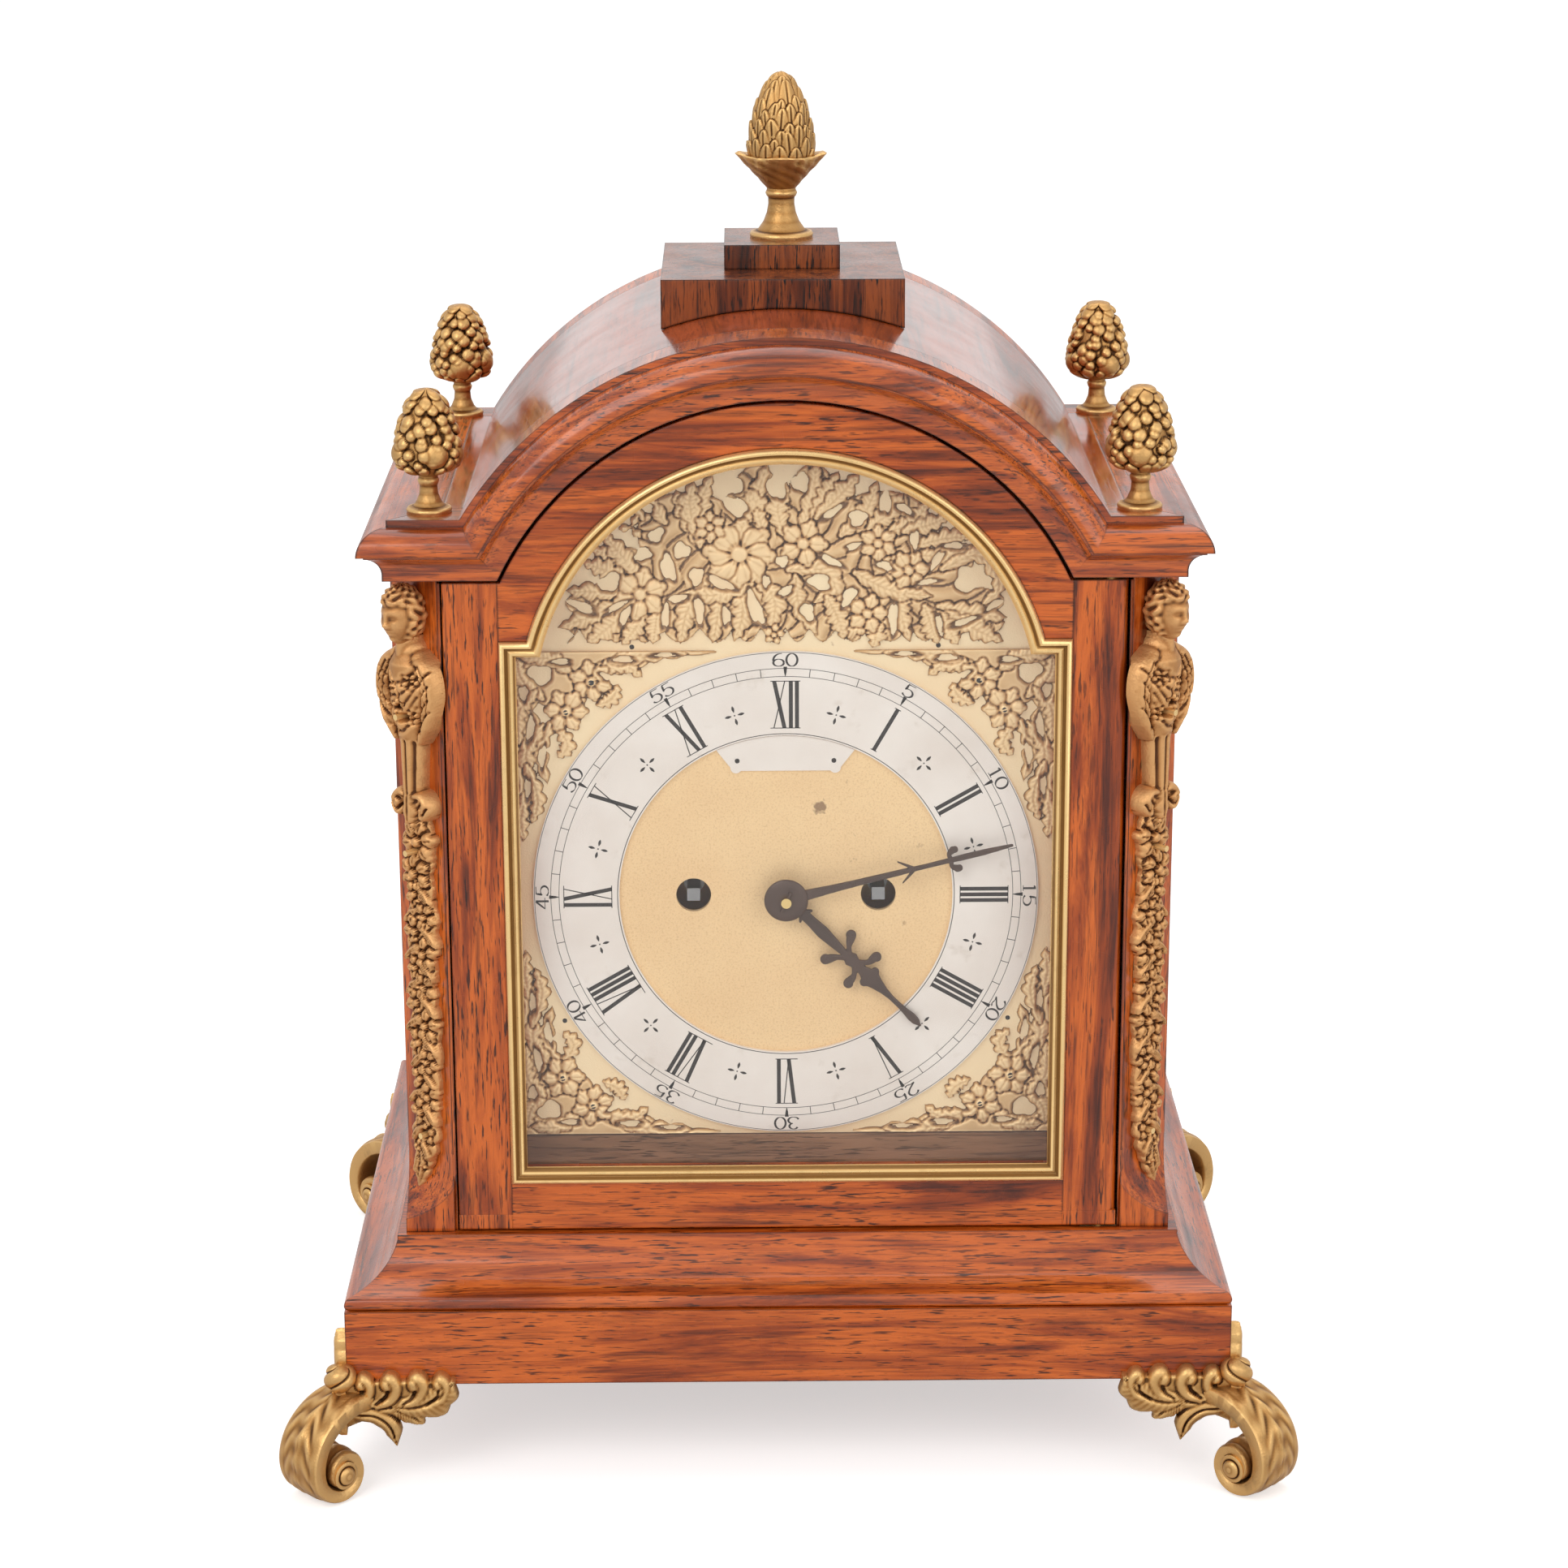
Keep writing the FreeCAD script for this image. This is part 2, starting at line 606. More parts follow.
def wing_outline(rise):
    """Leaf bracket: (distance from the plinth corner, height)."""
    low = FOOT_HEIGHT
    long = WING_LENGTH
    return [(0.0, low + rise), (long * 0.3, low + WING_RISE), (long * 0.88, low + WING_RISE * 0.8),
            ((long, low + WING_RISE * 0.3), (long * 0.95, low - 2.0)),
            ((long * 0.82, low * 0.78), (long * 0.66, low * 0.72)), (long * 0.6, low * 0.53),
            ((long * 0.4, low * 0.76), (0.0, low * 0.68))]


def foot():
    """Right front foot."""
    corner_x, corner_y = PLINTH_WIDTH / 2, -PLINTH_DEPTH / 2
    thick = WING_THICKNESS
    front_face = Part.Face(edge_path(
        wing_outline(WING_RISE), lambda p: Vector(corner_x + thick - p[0], corner_y, p[1])))
    front_wing = front_face.extrude(Vector(0, -thick, 0))
    side_face = Part.Face(edge_path(
        wing_outline(SIDE_LEAF_RISE), lambda p: Vector(corner_x, corner_y - thick + p[0], p[1])))
    side_wing = side_face.extrude(Vector(thick, 0, 0))
    side = FOOT_FLANGE_SIDE
    low, high = FOOT_HEIGHT - FOOT_FLANGE, FOOT_HEIGHT
    flange = box(corner_x - side, corner_x, corner_y, corner_y + side, low, high)
    knob_radius = thick * 1.15
    knob = Part.makeSphere(knob_radius, Vector(corner_x + thick, corner_y - thick, high + 2.5))
    plinth_block = box(0, corner_x, corner_y, 0, high, high + PLINTH_HEIGHT)
    whole = fuse(foot_leg(), front_wing, side_wing, flange, knob).cut(plinth_block)
    sx, sy = foot_screw_place()
    return whole.cut(post(sx, sy, FOOT_SCREW_RADIUS + RUNNING_GAP, low - 20, high + 1))


def foot_screw_place():
    return PLINTH_WIDTH / 2 - FOOT_SCREW_INSET, -PLINTH_DEPTH / 2 + FOOT_SCREW_BACK


def make_feet():
    right = foot()
    for end, back in (("front", False), ("rear", True)):
        nodes["foot_%s_left" % end] = mirrored(right, x=True, y=back)
        nodes["foot_%s_right" % end] = mirrored(right, y=back)


# ---- corner mounts ---------------------------------------------------------------------

def mount_profile():
    """Half outline of the figure, taper, collar and floral drop: (radius, fraction down)."""
    head, shoulder, drop = MOUNT_HEAD, MOUNT_SHOULDER, MOUNT_DROP
    return [(0.0, 0.0), ((head * 0.75, 0.012), (head, 0.045)), ((head * 0.8, 0.085), (3.4, 0.102)),
            (3.6, 0.115), ((shoulder * 0.85, 0.125), (shoulder, 0.16)),
            ((shoulder * 0.9, 0.22), (6.0, 0.27)), (3.8, 0.345), (4.4, 0.352),
            ((drop + 1.0, 0.364), (4.6, 0.376)), (4.2, 0.39), ((drop, 0.45), (drop * 0.85, 0.6)),
            ((drop, 0.72), (drop * 0.7, 0.85)), ((drop * 0.45, 0.95), (0.0, 1.0))]


def mount_plate_outline():
    """Right half of the flat casting behind the figure: (half width, fraction down)."""
    wing, head, drop = MOUNT_WING, MOUNT_HEAD, MOUNT_DROP
    return [(0.0, 0.004), ((head * 0.8, 0.012), (head + 0.8, 0.045)), (head * 0.5, 0.1),
            ((wing * 0.8, 0.11), (wing, 0.145)), ((wing, 0.19), (wing * 0.7, 0.235)), (4.2, 0.335),
            ((drop + 2.2, 0.363), (4.6, 0.38)), ((drop + 2.4, 0.42), (drop, 0.5)),
            ((drop + 2.4, 0.56), (drop, 0.63)), ((drop + 2.2, 0.7), (drop * 0.8, 0.79)),
            ((drop + 1.0, 0.84), (2.6, 0.92)), (0.0, 0.99)]


def corner_mount():
    """Right corner mount: half-round figure and its flat casting on the canted face."""
    top = Z_CORNICE - MOUNT_TOP_GAP
    cant = Vector(HALF_X - CANT / 2, -HALF_Y + CANT / 2, top)
    scale = MOUNT_LENGTH
    steps = [tuple((q[0], -q[1] * scale) for q in p) if isinstance(p[0], tuple)
             else (p[0], -p[1] * scale) for p in mount_profile()]
    figure = turned(steps, (cant.x, cant.y, cant.z))
    normal = Vector(1, -1, 0).normalize()
    across = Vector(1, 1, 0).normalize()
    for side in (-1, 1):
        half = Part.Face(edge_path(mount_plate_outline(), lambda p: (
            cant + across * side * p[0] - Vector(0, 0, p[1] * scale))))
        figure = figure.fuse(half.extrude(normal * MOUNT_PLATE))
    wide, deep = CANT * 2, CANT * 2
    corner = cant - across * wide - Vector(0, 0, 1.2 * scale)
    points = [corner, corner + across * 2 * wide, corner + across * 2 * wide + normal * deep,
              corner + normal * deep]
    front = Part.Face(Part.makePolygon(points + [corner])).extrude(Vector(0, 0, 1.4 * scale))
    figure = figure.removeSplitter().common(front)
    square = box(INNER_X, HALF_X, -HALF_Y, -HALF_Y + POST_DEPTH, Z_CASE, Z_CORNICE)
    door_side = DOOR_HALF + MOUNT_DOOR_GAP
    door_way = box(door_side - wide, door_side, -HALF_Y - deep, -HALF_Y + deep, Z_CASE, Z_CORNICE)
    return figure.cut(square.cut(cant_cutter())).cut(door_way)


def mount_pins():
    """Three pins through each corner mount into its post."""
    top = Z_CORNICE - MOUNT_TOP_GAP
    normal = Vector(1, -1, 0).normalize()
    pins = []
    for fraction, length in ((0.21, 9.0), (0.43, 7.0), (0.9, 4.6)):
        z = top - fraction * MOUNT_LENGTH
        start = Vector(HALF_X - CANT / 2, -HALF_Y + CANT / 2, z) - normal * 5.0
        pins.append(Part.makeCylinder(MOUNT_PIN_RADIUS, 5.0 + length, start, normal))
    return pins


def make_corner_mounts():
    mount = corner_mount()
    right_post = corner_post()
    for pin in mount_pins():
        mount = mount.cut(pin)
        right_post = right_post.cut(pin)
    nodes["corner_mount_right"] = mount
    nodes["corner_mount_left"] = mirrored(mount, x=True)
    nodes["corner_post_right"] = right_post
    nodes["corner_post_left"] = mirrored(right_post, x=True)


# ---- doors -----------------------------------------------------------------------------

def door_stile(hinged):
    """Right-hand stile; the edge that turns in the recess is rounded."""
    stile = box(LIGHT_HALF, DOOR_HALF, DOOR_FACE, DOOR_BACK, Z_DOOR, Z_DOOR_SHOULDER)
    rounds = [e for e in stile.Edges
              if abs(e.Vertexes[0].X - DOOR_HALF) < 1e-6 and abs(e.Vertexes[1].X - DOOR_HALF) < 1e-6
              and abs(e.Vertexes[0].Z - e.Vertexes[1].Z) > 1]
    stile = stile.makeFillet(DOOR_EDGE_ROUND if hinged else DOOR_EDGE_ROUND / 4, rounds)
    if hinged:
        for plate in hinge_plates():
            stile = stile.cut(plate)
    return stile


def hinge_plates():
    """Pivot plates let into the top and the foot of the hinged stile, each with its pin."""
    wide, thick = HINGE_PLATE_WIDTH, HINGE_PLATE_THICKNESS
    outer = HINGE_X + HINGE_PLATE_WIDTH / 2 + 1.5
    plates = []
    for level, direction in ((Z_DOOR, 1), (Z_DOOR_SHOULDER, -1)):
        z0, z1 = sorted((level, level + direction * thick))
        plate = box(outer - HINGE_PLATE_LENGTH, outer, HINGE_Y - wide / 2, HINGE_Y + wide / 2, z0, z1)
        if direction > 0:
            pin = post(HINGE_X, HINGE_Y, HINGE_PIN_RADIUS, Z_CASE - SOCKET_DEPTH + END_SHAKE, z1)
        else:
            top = Z_CORNICE + SOCKET_DEPTH - END_SHAKE
            pin = post(HINGE_X, HINGE_Y, HINGE_PIN_RADIUS, z0, top)
        plates.append(fuse(plate, pin))
    return plates


def socket_blocks(z0, z1):
    """Pivot sockets of the front door, solid."""
    long, wide = SOCKET_LENGTH, HINGE_PLATE_WIDTH
    return [box(HINGE_X - long / 2, HINGE_X + long / 2, HINGE_Y - wide / 2, HINGE_Y + wide / 2, z0, z1)]


def sockets():
    """Brass sockets for the door pins, in the base and in the cornice."""
    made = []
    for z0, z1 in ((Z_CASE - SOCKET_DEPTH, Z_CASE), (Z_CORNICE, Z_CORNICE + SOCKET_DEPTH)):
        for block in socket_blocks(z0, z1):
            made.append(block.cut(post(HINGE_X, HINGE_Y, HINGE_PIN_RADIUS + RUNNING_GAP,
                                       z0 - 1, z1 + 1)))
    return made


def bottom_rail():
    return box(-LIGHT_HALF, LIGHT_HALF, DOOR_FACE, DOOR_BACK, Z_DOOR, Z_LIGHT)


def arch_head():
    shoulder = Z_LIGHT_SHOULDER
    inner = arch_width(LIGHT_ARCH_RADIUS, shoulder)
    top = Z_DOOR_SHOULDER
    outer = arch_width(DOOR_ARCH_RADIUS, top)
    outer = min(outer, LIGHT_HALF)
    steps = [(-LIGHT_HALF, shoulder), (-inner, shoulder),
             ((0, Z_ARCH + LIGHT_ARCH_RADIUS), (inner, shoulder)), (LIGHT_HALF, shoulder),
             (LIGHT_HALF, top), (outer, top),
             ((0, Z_ARCH + DOOR_ARCH_RADIUS), (-outer, top)), (-LIGHT_HALF, top)]
    return plate_xz(steps, DOOR_FACE, DOOR_BACK)


def light_outline(inset):
    """Outline of the door's opening, drawn in by an inset."""
    half = LIGHT_HALF - inset
    foot = Z_LIGHT + inset
    shoulder = Z_LIGHT_SHOULDER - inset
    radius = LIGHT_ARCH_RADIUS - inset
    spring = arch_width(radius, shoulder)
    return [(-half, foot), (half, foot), (half, shoulder), (spring, shoulder),
            ((0, Z_ARCH + radius), (-spring, shoulder)), (-half, shoulder)]


def bezel():
    """Brass frame in the door's opening: a high outer bead and a lower inner step."""
    back = DOOR_FACE + BEZEL_BACK
    gap = 0.1
    inner_cut = plate_xz(light_outline(BEZEL_WIDTH), DOOR_FACE - 9, back)
    bead = plate_xz(light_outline(gap), DOOR_FACE - BEZEL_PROUD, back)
    bead = bead.cut(plate_xz(light_outline(BEZEL_WIDTH * 0.45), DOOR_FACE - 9, DOOR_FACE - 0.8))
    return bead.cut(inner_cut)


def glass(gap, face):
    return plate_xz(light_outline(gap), face, face + GLASS_THICKNESS)


def pull_knob():
    """Brass pull knob on the free stile of the back door, drawn as on the front."""
    x = -(LIGHT_HALF + STILE_WIDTH / 2)
    z = (Z_DOOR + Z_DOOR_SHOULDER) / 2
    stem, ball = KNOB_RADIUS * 0.4, KNOB_RADIUS
    long = KNOB_LENGTH
    shank = turned([(0, -KNOB_PIN), (stem * 0.7, -KNOB_PIN), (stem * 0.7, 0), (ball * 0.9, 0),
                    (ball * 0.9, 1.0), (stem, 1.6), (stem, long - ball), (0, long - ball)],
                   (x, DOOR_FACE, z), axis=(0, -1, 0), across=(1, 0, 0))
    return fuse(shank, Part.makeSphere(ball, Vector(x, DOOR_FACE - long + ball, z)))


def make_front_door():
    nodes["door_stile_right"] = door_stile(True)
    nodes["door_stile_left"] = mirrored(door_stile(False), x=True)
    nodes["door_bottom_rail"] = bottom_rail()
    nodes["door_arch_head"] = arch_head()
    nodes["door_bezel"] = bezel()
    nodes["door_glass"] = glass(0.3, DOOR_FACE + BEZEL_BACK)
    nodes["door_pivots"] = group(*hinge_plates())


def make_back_door():
    """The back door is the front door's woodwork turned round, glazed in its thickness."""
    knob = pull_knob()
    free_stile = mirrored(door_stile(False), x=True).cut(knob)
    pieces = [door_stile(True), free_stile, bottom_rail(), arch_head()]
    nodes["back_door_frame"] = group(*[half_turn(piece) for piece in pieces])
    nodes["back_door_glass"] = half_turn(glass(0.0, (DOOR_FACE + DOOR_BACK) / 2))
    nodes["back_door_fittings"] = group(*[half_turn(p) for p in hinge_plates() + [knob]])


# ---- dial ------------------------------------------------------------------------------

def dial_plate():
    plate = plate_xz(dial_outline(0), DIAL_FACE, DIAL_REAR)
    for side in (-1, 1):
        plate = plate.cut(rod(side * WINDING_X, CZ, WINDING_HOLE_RADIUS, DIAL_FACE - 1, DIAL_REAR + 1))
    plate = plate.cut(rod(CX, CZ, 4.2, DIAL_FACE - 1, DIAL_REAR + 1))
    feet = [rod(x * DIAL_FOOT_X, CZ + z * DIAL_FOOT_Z, DIAL_FOOT_RADIUS, DIAL_REAR, FRONT_PLATE)
            for x in (-1, 1) for z in (-1, 1)]
    return fuse(plate, *feet)


def chapter_ring():
    face = DIAL_FACE - RING_THICKNESS
    disc = rod(CX, CZ, RING_RADIUS, face, DIAL_FACE)
    return disc.cut(rod(CX, CZ, RING_INNER_RADIUS, face - 1, DIAL_FACE + 1))


def name_plaque():
    """Bare silvered plaque across the top of the matted centre, with scooped lower corners."""
    half, tall = PLAQUE_WIDTH / 2, PLAQUE_HEIGHT
    radius = RING_INNER_RADIUS - 0.3
    top = CZ + math.sqrt(radius ** 2 - half ** 2)
    foot = CZ + radius - tall
    steps = [(-half, top), ((0, CZ + radius), (half, top)), (half - 4.0, foot + 1.0),
             ((half - 5.0, foot - 0.6), (half - 7.0, foot)), (-half + 7.0, foot),
             ((-half + 5.0, foot - 0.6), (-half + 4.0, foot + 1.0))]
    return plate_xz(steps, DIAL_FACE - PLAQUE_THICKNESS, DIAL_FACE)


def leaf(x, z, angle, long, wide, thickness):
    """Pointed leaf, base at (x, z), tip towards the angle (degrees clockwise from up)."""
    a = math.radians(angle)
    along = (math.sin(a), math.cos(a))
    across = (math.cos(a), -math.sin(a))

    def at(s, t):
        return (x + along[0] * s + across[0] * t, z + along[1] * s + across[1] * t)
    steps = [at(0, 0), (at(long * 0.4, wide / 2), at(long, 0)), (at(long * 0.4, -wide / 2), at(0, 0))]
    return plate_xz(steps[:2] + [steps[2]], DIAL_FACE - thickness, DIAL_FACE)


def rosette(x, z, radius):
    """Flower: five round petals about a raised eye."""
    parts = [rod(x, z, radius * 0.36, DIAL_FACE - SPANDREL_THICKNESS - 0.5, DIAL_FACE)]
    for k in range(5):
        a = 2 * math.pi * k / 5
        px, pz = x + radius * 0.58 * math.sin(a), z + radius * 0.58 * math.cos(a)
        parts.append(rod(px, pz, radius * 0.42, DIAL_FACE - SPANDREL_THICKNESS, DIAL_FACE))
    return parts


def arch_spandrel():
    """Cresting in the dial arch: scalloped plate with leaf-shaped openings and five flowers."""
    thin = SPANDREL_THICKNESS * 0.7
    tips = LIGHT_ARCH_RADIUS - BEZEL_WIDTH - SPANDREL_EDGE_GAP
    foot = CZ + RING_RADIUS + SPANDREL_EDGE_GAP
    steps = []
    for k in range(2 * SCALLOPS + 1):
        angle = math.radians(SCALLOP_SPAN) * (k / SCALLOPS - 1)
        radius = tips if k % 2 else tips - SCALLOP_DEPTH
        steps.append((radius * math.sin(angle), Z_ARCH + radius * math.cos(angle)))
    half = steps[-1][0] - SCALLOP_DEPTH
    for k in range(2 * SCALLOPS + 1):
        steps.append((half * (1 - k / SCALLOPS), foot if k % 2 else foot + SCALLOP_DEPTH))
    plate = plate_xz(steps, DIAL_FACE - thin, DIAL_FACE)
    for angle in (-62, -36, -8, 8, 36, 62):
        a = math.radians(angle)
        x, z = ARCH_OPENINGS * math.sin(a), Z_ARCH + ARCH_OPENINGS * math.cos(a)
        plate = plate.cut(leaf(x, z, angle, 11.0, 5.0, thin))
    parts = []
    for x, z, r in ((0, 36.0, 8.0), (-36, 31.0, 7.0), (36, 31.0, 7.0), (-19, 48.0, 5.5), (19, 48.0, 5.5)):
        parts += rosette(x, Z_ARCH + z, r)
    return fuse(plate, *parts)


def corner_spandrel(sx, sz):
    """One corner ornament: a triangle of leaves with two flowers and a fixing screw."""
    thin = SPANDREL_THICKNESS * 0.7
    x0 = DIAL_HALF - 6.0
    z0 = RING_RADIUS - 1.5
    steps = [(sx * x0, CZ + sz * z0), (sx * (x0 - 36.0), CZ + sz * z0),
             ((sx * (x0 - 12.5), CZ + sz * (z0 - 12.5)), (sx * x0, CZ + sz * (z0 - 36.0)))]
    base = plate_xz(steps, DIAL_FACE - thin, DIAL_FACE)
    parts = rosette(sx * (x0 - 8.0), CZ + sz * (z0 - 19.0), 5.0)
    parts += rosette(sx * (x0 - 18.0), CZ + sz * (z0 - 8.5), 5.2)
    ring = rod(CX, CZ, RING_RADIUS + 0.3, DIAL_FACE - 9, DIAL_FACE + 1)
    return fuse(base, *parts).cut(ring)


def make_dial():
    nodes["dial_plate"] = dial_plate()
    nodes["chapter_ring"] = chapter_ring()
    nodes["name_plaque"] = name_plaque()
    nodes["arch_spandrel"] = arch_spandrel()
    nodes["corner_spandrels"] = group(*[corner_spandrel(sx, sz) for sx in (-1, 1) for sz in (-1, 1)])


# ---- wheels and pinions ----------------------------------------------------------------

def toothed(x, z, teeth, module, y0, y1, towards, pinion=False, gap=False):
    """Wheel or pinion; a tooth, or a gap if asked, points towards the angle from up."""
    pitch_radius = module * teeth / 2
    head, root = (0.45, 1.5) if pinion else (0.8, 1.35)
    share = 0.32 if pinion else 0.4
    pitch = 2 * math.pi / teeth
    start = math.radians(towards) + (pitch / 2 if gap else 0)
    half = pitch * share / 2
    points = []
    for k in range(teeth):
        a = start + k * pitch
        for radius, turn in ((pitch_radius - root * module, -half), (pitch_radius, -half),
                             (pitch_radius + head * module, -half / 2),
                             (pitch_radius + head * module, half / 2),
                             (pitch_radius, half), (pitch_radius - root * module, half)):
            points.append((x + radius * math.sin(a + turn), z + radius * math.cos(a + turn)))
    return plate_xz(points, y0, y1)


def spoked(wheel, x, z, hub, rim, y0, y1, spokes=4, width=3.0):
    """Crosses a wheel out, leaving its rim, its hub and straight spokes."""
    well = rod(x, z, rim, y0, y1).cut(rod(x, z, hub, y0, y1))
    for k in range(spokes):
        arm = box(x - width / 2, x + width / 2, y0, y1, z, z + rim + 1)
        arm.rotate(Vector(x, 0, z), Vector(0, 1, 0), 360.0 * k / spokes)
        well = well.cut(arm)
    return wheel.cut(well)


def arbor(x, z, front=None, back=None, radius=ARBOR_RADIUS):
    """Arbor between the plates with a pivot at each end, or running through at front."""
    pivot_y0 = FRONT_PLATE if front is None else front
    pivot_y1 = BACK_FACE if back is None else back
    parts = [rod(x, z, radius, PLATES_IN + END_SHAKE, PLATES_OUT - END_SHAKE)]
    parts.append(rod(x, z, PIVOT_RADIUS if front is None else radius, pivot_y0, PLATES_IN + END_SHAKE))
    parts.append(rod(x, z, PIVOT_RADIUS, PLATES_OUT - END_SHAKE, pivot_y1))
    return parts


def place(name):
    """Centre of each arbor of the movement."""
    places = {
        "centre": (CX, CZ),
        "third": (CX + THIRD_X, CZ + THIRD_RISE),
        "escape": (CX, CZ + ESCAPE_RISE),
        "pallet": (CX, CZ + ESCAPE_RISE + PALLET_REACH),
        "going": (WINDING_X, CZ),
        "strike": (-WINDING_X, CZ),
        "minute": (CX, CZ - MOTION_REACH),
        "hammer": (HAMMER_ARBOR_X, CZ + HAMMER_ARBOR_Z),
    }
    return places[name]


def heading(here, there):
    """Angle from one arbor to another, degrees clockwise from up."""
    x0, z0 = place(here)
    x1, z1 = place(there)
    return math.degrees(math.atan2(x1 - x0, z1 - z0))


def centre_arbor():
    x, z = place("centre")
    y = CENTRE_WHEEL_Y
    wheel = toothed(x, z, CENTRE_TEETH, TRAIN_MODULE, y, y + WHEEL_THICKNESS, heading("centre", "third"))
    rim = TRAIN_MODULE * CENTRE_TEETH / 2 - 3.5
    wheel = spoked(wheel, x, z, 4.5, rim, y, y + WHEEL_THICKNESS)
    pinion = toothed(x, z, CENTRE_PINION_LEAVES, TRAIN_MODULE, GREAT_Y - 1.0, GREAT_Y + 3.0,
                     heading("centre", "going"), pinion=True)
    return fuse(*arbor(x, z, front=ARBOR_END), wheel, pinion)


def cannon():
    """Cannon wheel and its pipe, which carries the minute hand."""
    x, z = place("centre")
    wheel = toothed(x, z, CANNON_TEETH, CANNON_MODULE, CANNON_Y, CANNON_Y + WHEEL_THICKNESS,
                    heading("centre", "minute"))
    pipe = rod(x, z, 2.5, MINUTE_HAND_Y + HAND_THICKNESS, CANNON_Y + WHEEL_THICKNESS)
    seat = rod(x, z, 2.1, MINUTE_HAND_Y, MINUTE_HAND_Y + HAND_THICKNESS)
    bore = rod(x, z, ARBOR_RADIUS + RUNNING_GAP, MINUTE_HAND_Y - 1, FRONT_PLATE)
    return fuse(wheel, pipe, seat).cut(bore)


def hand_blade(stations, length, y):
    """Flat hand pointing up from (radius share, half width) stations."""
    right = [(w, CZ + length * s) for s, w in stations]
    left = [(-w, CZ + length * s) for s, w in reversed(stations) if w > 0.05]
    return plate_xz(right + left, y, y + HAND_THICKNESS)


def set_hand(shape, angle):
    """Turns a hand that points up to its place at rest, clockwise as seen from the front."""
    return shape.rotate(Vector(CX, 0, CZ), Vector(0, 1, 0), angle)


def minute_hand():
    stations = [(0.0, 1.9), (0.07, 1.9), (0.1, 1.1), (0.3, 0.9), (0.55, 0.75), (0.62, 0.7), (0.64, 2.3),
                (0.67, 1.2), (0.7, 0.9), (0.73, 3.0), (0.755, 1.0), (0.8, 0.8), (1.0, 0.0)]
    y = MINUTE_HAND_Y
    boss = rod(CX, CZ, 4.6, y, y + HAND_THICKNESS)
    blade = fuse(hand_blade(stations, MINUTE_HAND_LENGTH, y), boss)
    blade = blade.cut(rod(CX, CZ, 2.1, y - 1, y + 2))
    collet = turned([(ARBOR_RADIUS, 0), (COLLET_RADIUS, 0), (COLLET_RADIUS, 0.4),
                     ((COLLET_RADIUS * 0.6, COLLET_HEIGHT * 0.88), (ARBOR_RADIUS, COLLET_HEIGHT))],
                    (CX, y, CZ), axis=(0, -1, 0))
    return group(set_hand(blade, MINUTE_HAND_ANGLE), collet)


def hour_hand():
    stations = [(0.0, 2.0), (0.1, 2.2), (0.14, 1.5), (0.2, 2.0), (0.26, 1.3), (0.33, 1.6), (0.4, 2.6),
                (0.44, 1.6), (0.5, 3.2), (0.56, 6.6), (0.6, 3.4), (0.65, 2.2), (0.7, 3.6), (0.74, 1.5),
                (0.78, 1.0), (0.9, 1.1), (1.0, 0.0)]
    y = HOUR_HAND_Y
    boss = rod(CX, CZ, 5.4, y, y + HAND_THICKNESS)
    blade = fuse(hand_blade(stations, HOUR_HAND_LENGTH, y), boss)
    blade = blade.cut(rod(CX, CZ, 3.2, y - 1, y + 2))
    return set_hand(blade, HOUR_HAND_ANGLE)


def hour_wheel():
    x, z = place("centre")
    y = HOUR_WHEEL_Y
    wheel = toothed(x, z, HOUR_TEETH, TRAIN_MODULE, y, y + WHEEL_THICKNESS, heading("centre", "minute"))
    pipe = rod(x, z, 3.8, HOUR_HAND_Y + HAND_THICKNESS, y + WHEEL_THICKNESS)
    seat = rod(x, z, 3.2, HOUR_HAND_Y, HOUR_HAND_Y + HAND_THICKNESS)
    bore = rod(x, z, 2.5 + RUNNING_GAP, HOUR_HAND_Y - 1, CANNON_Y)
    return fuse(wheel, pipe, seat).cut(bore)


def minute_wheel():
    x, z = place("minute")
    wheel = toothed(x, z, CANNON_TEETH, CANNON_MODULE, CANNON_Y, CANNON_Y + WHEEL_THICKNESS,
                    heading("minute", "centre"), gap=True)
    pinion = toothed(x, z, MINUTE_PINION_LEAVES, TRAIN_MODULE, HOUR_WHEEL_Y - 0.5, CANNON_Y,
                     heading("minute", "centre"), pinion=True, gap=True)
    bore = rod(x, z, 0.55 + RUNNING_GAP, HOUR_WHEEL_Y - 2, FRONT_PLATE)
    return fuse(wheel, pinion).cut(bore)


def third_wheel():
    x, z = place("third")
    y = THIRD_WHEEL_Y
    pinion = toothed(x, z, THIRD_PINION_LEAVES, TRAIN_MODULE, CENTRE_WHEEL_Y - 1.0, CENTRE_WHEEL_Y + 2.5,
                     heading("third", "centre"), pinion=True, gap=True)
    wheel = toothed(x, z, THIRD_TEETH, THIRD_MODULE, y, y + WHEEL_THICKNESS, heading("third", "escape"))
    rim = THIRD_MODULE * THIRD_TEETH / 2 - 3.0
    wheel = spoked(wheel, x, z, 4.0, rim, y, y + WHEEL_THICKNESS)
    return thin_arbor("third", [pinion, wheel], CENTRE_WHEEL_Y - 1.0)


def thin_arbor(name, wheels, pinion_y):
    """Arbor with wheels; it is pivot thick beside the great wheel and behind its pinion."""
    x, z = place(name)
    slim = rod(x, z, PIVOT_RADIUS, FRONT_PLATE, BACK_FACE)
    collar = rod(x, z, ARBOR_RADIUS, PLATES_IN + END_SHAKE, GREAT_Y - GREAT_WHEEL_GAP / 4)
    thick = rod(x, z, ARBOR_RADIUS, GREAT_Y + GREAT_THICKNESS + GREAT_WHEEL_GAP / 4, pinion_y)
    return fuse(slim, collar, thick, *wheels)


